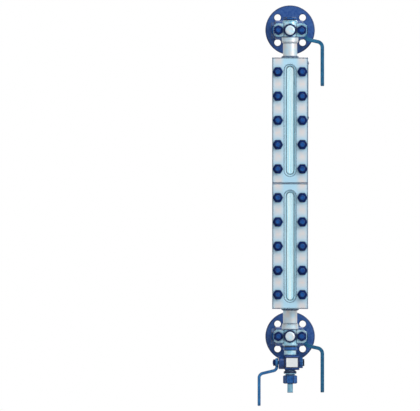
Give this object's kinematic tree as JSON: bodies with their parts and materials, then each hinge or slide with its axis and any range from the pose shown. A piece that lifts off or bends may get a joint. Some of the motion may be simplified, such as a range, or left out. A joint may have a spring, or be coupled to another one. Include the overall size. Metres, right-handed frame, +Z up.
{
  "type": "tank level gauge",
  "caption": "Reflex glass level gauge for a tank: a square chamber with bolted glass covers between flanged plug cocks with hand levers, and a drain cock below.",
  "frame": {"origin": "centre of the lower tank flange's bolt circle, on the bore axis in the plane of the face that the bolts go through; the raised face stands 2 mm ahead of it at y 0.002", "axes": "+Y out of the tank flanges towards the tank, +Z up along the gauge, +X to the right seen from the glasses, where the two cock levers are"},
  "size_m": [0.1413, 0.1856, 0.85],
  "materials": {
    "blue_enamel": "gloss enamel on forged steel",
    "satin_steel": "zinc plated, satin",
    "pale_steel": "machined, satin",
    "blue_fastener": "blue polymer coating",
    "rod_steel": "bright rod",
    "teal_lever": "baked enamel",
    "stainless": "turned",
    "sight_glass": "pressed borosilicate",
    "graphite": "compressed graphite sheet",
    "packing": "graphite packing",
    "soft_copper": "annealed flat ring",
    "plate_metal": "bare satin plate"
  },
  "bodies": {
    "gauge": {"gauge_body": "satin_steel", "nameplate": "plate_metal", "nameplate_pins": "stainless", "top_plug": "blue_fastener", "top_plug_seal": "soft_copper", "upper_cover": "satin_steel", "upper_glass": "sight_glass", "upper_gasket": "graphite", "upper_cushion": "graphite", "upper_u_bolts": "rod_steel", "upper_cover_nuts": "blue_fastener", "upper_tube": "satin_steel", "upper_collar": "satin_steel", "upper_head": "pale_steel", "upper_front_plug": "pale_steel", "upper_front_plug_seal": "soft_copper", "upper_head_studs": "rod_steel", "upper_head_nuts": "blue_fastener", "upper_joint_ring": "graphite", "upper_cock_body": "blue_enamel", "upper_packing_sleeve": "packing", "upper_gland_ring": "stainless", "upper_cock_cap": "blue_fastener", "lower_cover": "satin_steel", "lower_glass": "sight_glass", "lower_gasket": "graphite", "lower_cushion": "graphite", "lower_u_bolts": "rod_steel", "lower_cover_nuts": "blue_fastener", "lower_tube": "satin_steel", "lower_collar": "satin_steel", "lower_head": "pale_steel", "lower_front_plug": "pale_steel", "lower_front_plug_seal": "soft_copper", "lower_head_studs": "rod_steel", "lower_head_nuts": "blue_fastener", "lower_joint_ring": "graphite", "lower_cock_body": "blue_enamel", "lower_packing_sleeve": "packing", "lower_gland_ring": "stainless", "lower_cock_cap": "blue_fastener", "drain_adapter": "pale_steel", "drain_seal": "soft_copper", "drain_body": "blue_enamel", "drain_packing_sleeve": "packing", "drain_gland_ring": "stainless", "drain_cap": "blue_fastener", "drain_nipple": "pale_steel", "drain_union_nut": "blue_fastener", "drain_tail_pipe": "stainless"},
    "upper_handle": {"upper_cock_plug": "stainless", "upper_lever": "teal_lever", "upper_lever_nut": "blue_fastener"},
    "lower_handle": {"lower_cock_plug": "stainless", "lower_lever": "teal_lever", "lower_lever_nut": "blue_fastener"},
    "drain_handle": {"drain_plug": "stainless", "drain_lever": "teal_lever", "drain_lever_nut": "blue_fastener"}
  },
  "joints": [
    {"name": "upper_cock", "type": "hinge", "parent": "gauge", "child": "upper_handle", "pos_m": [0, -0.048, 0.65], "axis": [-1, 0, 0], "range_deg": [0, 90]},
    {"name": "lower_cock", "type": "hinge", "parent": "gauge", "child": "lower_handle", "pos_m": [0, -0.048, 0], "axis": [-1, 0, 0], "range_deg": [0, 90]},
    {"name": "drain_cock", "type": "hinge", "parent": "gauge", "child": "drain_handle", "pos_m": [0, -0.113, -0.0555], "axis": [-1, 0, 0], "range_deg": [0, 90]}
  ]
}
